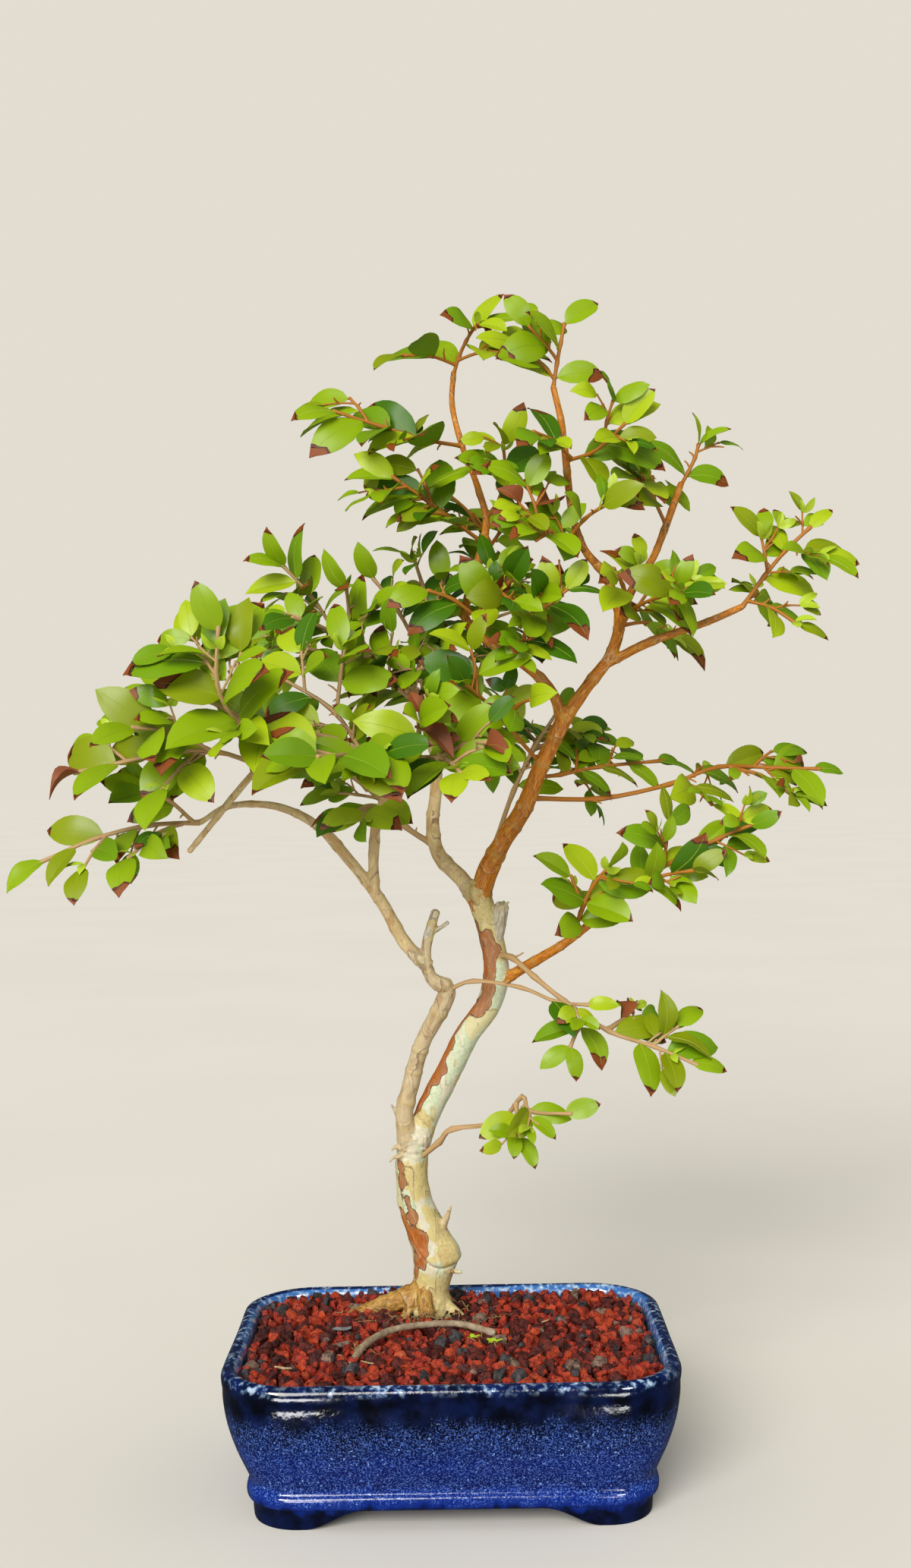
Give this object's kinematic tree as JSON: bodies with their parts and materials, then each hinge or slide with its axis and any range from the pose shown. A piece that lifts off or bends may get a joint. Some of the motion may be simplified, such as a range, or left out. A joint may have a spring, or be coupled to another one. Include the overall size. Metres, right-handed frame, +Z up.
{
  "type": "jaboticaba bonsai in a glazed pot",
  "caption": "Small jaboticaba tree with a bent, peeling trunk and an open crown of leafy twigs, growing in a footed rectangular glazed pot.",
  "frame": {"origin": "bottom centre of the whole plant's box: on the plane that the pot's feet stand on, under the middle of the crown's spread", "axes": "+Z up, +X to the right as seen from the front, -Y towards the viewer at the front of the tree"},
  "size_m": [0.4301, 0.2997, 0.6105],
  "materials": {
    "glaze": "glossy cobalt-blue mottled glaze",
    "soil": "rough crushed red lava grit",
    "bark": "smooth peeling bark in cream, pale green and red-brown",
    "bough_bark": "smooth peeling bark, orange-brown on the upper boughs",
    "root": "dry grey-tan root",
    "foliage": "satin leaves on thin twigs"
  },
  "bodies": {
    "root": {"bough_centre": "bough_bark", "bough_centre_left": "bough_bark", "bough_centre_right": "bough_bark", "bough_far_right": "bough_bark", "bough_front": "bough_bark", "bough_left": "bough_bark", "bough_left_cross": "bough_bark", "bough_left_up": "bough_bark", "bough_low_right": "bough_bark", "bough_right": "bough_bark", "bough_top_left": "bough_bark", "bough_top_right": "bough_bark", "branch_front": "foliage", "branch_low": "foliage", "branch_right": "foliage", "foliage_apex": "foliage", "foliage_back_middle": "foliage", "foliage_back_top": "foliage", "foliage_centre_back": "foliage", "foliage_centre_front": "foliage", "foliage_centre_inner": "foliage", "foliage_centre_low": "foliage", "foliage_centre_mid": "foliage", "foliage_centre_right": "foliage", "foliage_centre_upper": "foliage", "foliage_far_right": "foliage", "foliage_front_fan": "foliage", "foliage_front_right": "foliage", "foliage_leader_fan": "foliage", "foliage_leader_top": "foliage", "foliage_left_crown": "foliage", "foliage_left_end": "foliage", "foliage_left_front": "foliage", "foliage_left_outer": "foliage", "foliage_left_rear": "foliage", "foliage_left_shelf": "foliage", "foliage_left_under": "foliage", "foliage_low_right": "foliage", "foliage_low_right_inner": "foliage", "foliage_mid_right": "foliage", "foliage_mid_right_far": "foliage", "foliage_right_cluster": "foliage", "foliage_right_inner": "foliage", "foliage_right_inner_top": "foliage", "foliage_right_side": "foliage", "foliage_right_top": "foliage", "foliage_top_inner": "foliage", "foliage_upper_left": "foliage", "foliage_upper_left_low": "foliage", "foliage_upper_middle": "foliage", "leader_left": "bough_bark", "leader_mid": "bough_bark", "leader_right": "bough_bark", "pot": "glaze", "soil": "soil", "stem_left": "bough_bark", "stem_right": "bough_bark", "surface_root": "root", "trunk": "bark"}
  },
  "joints": []
}
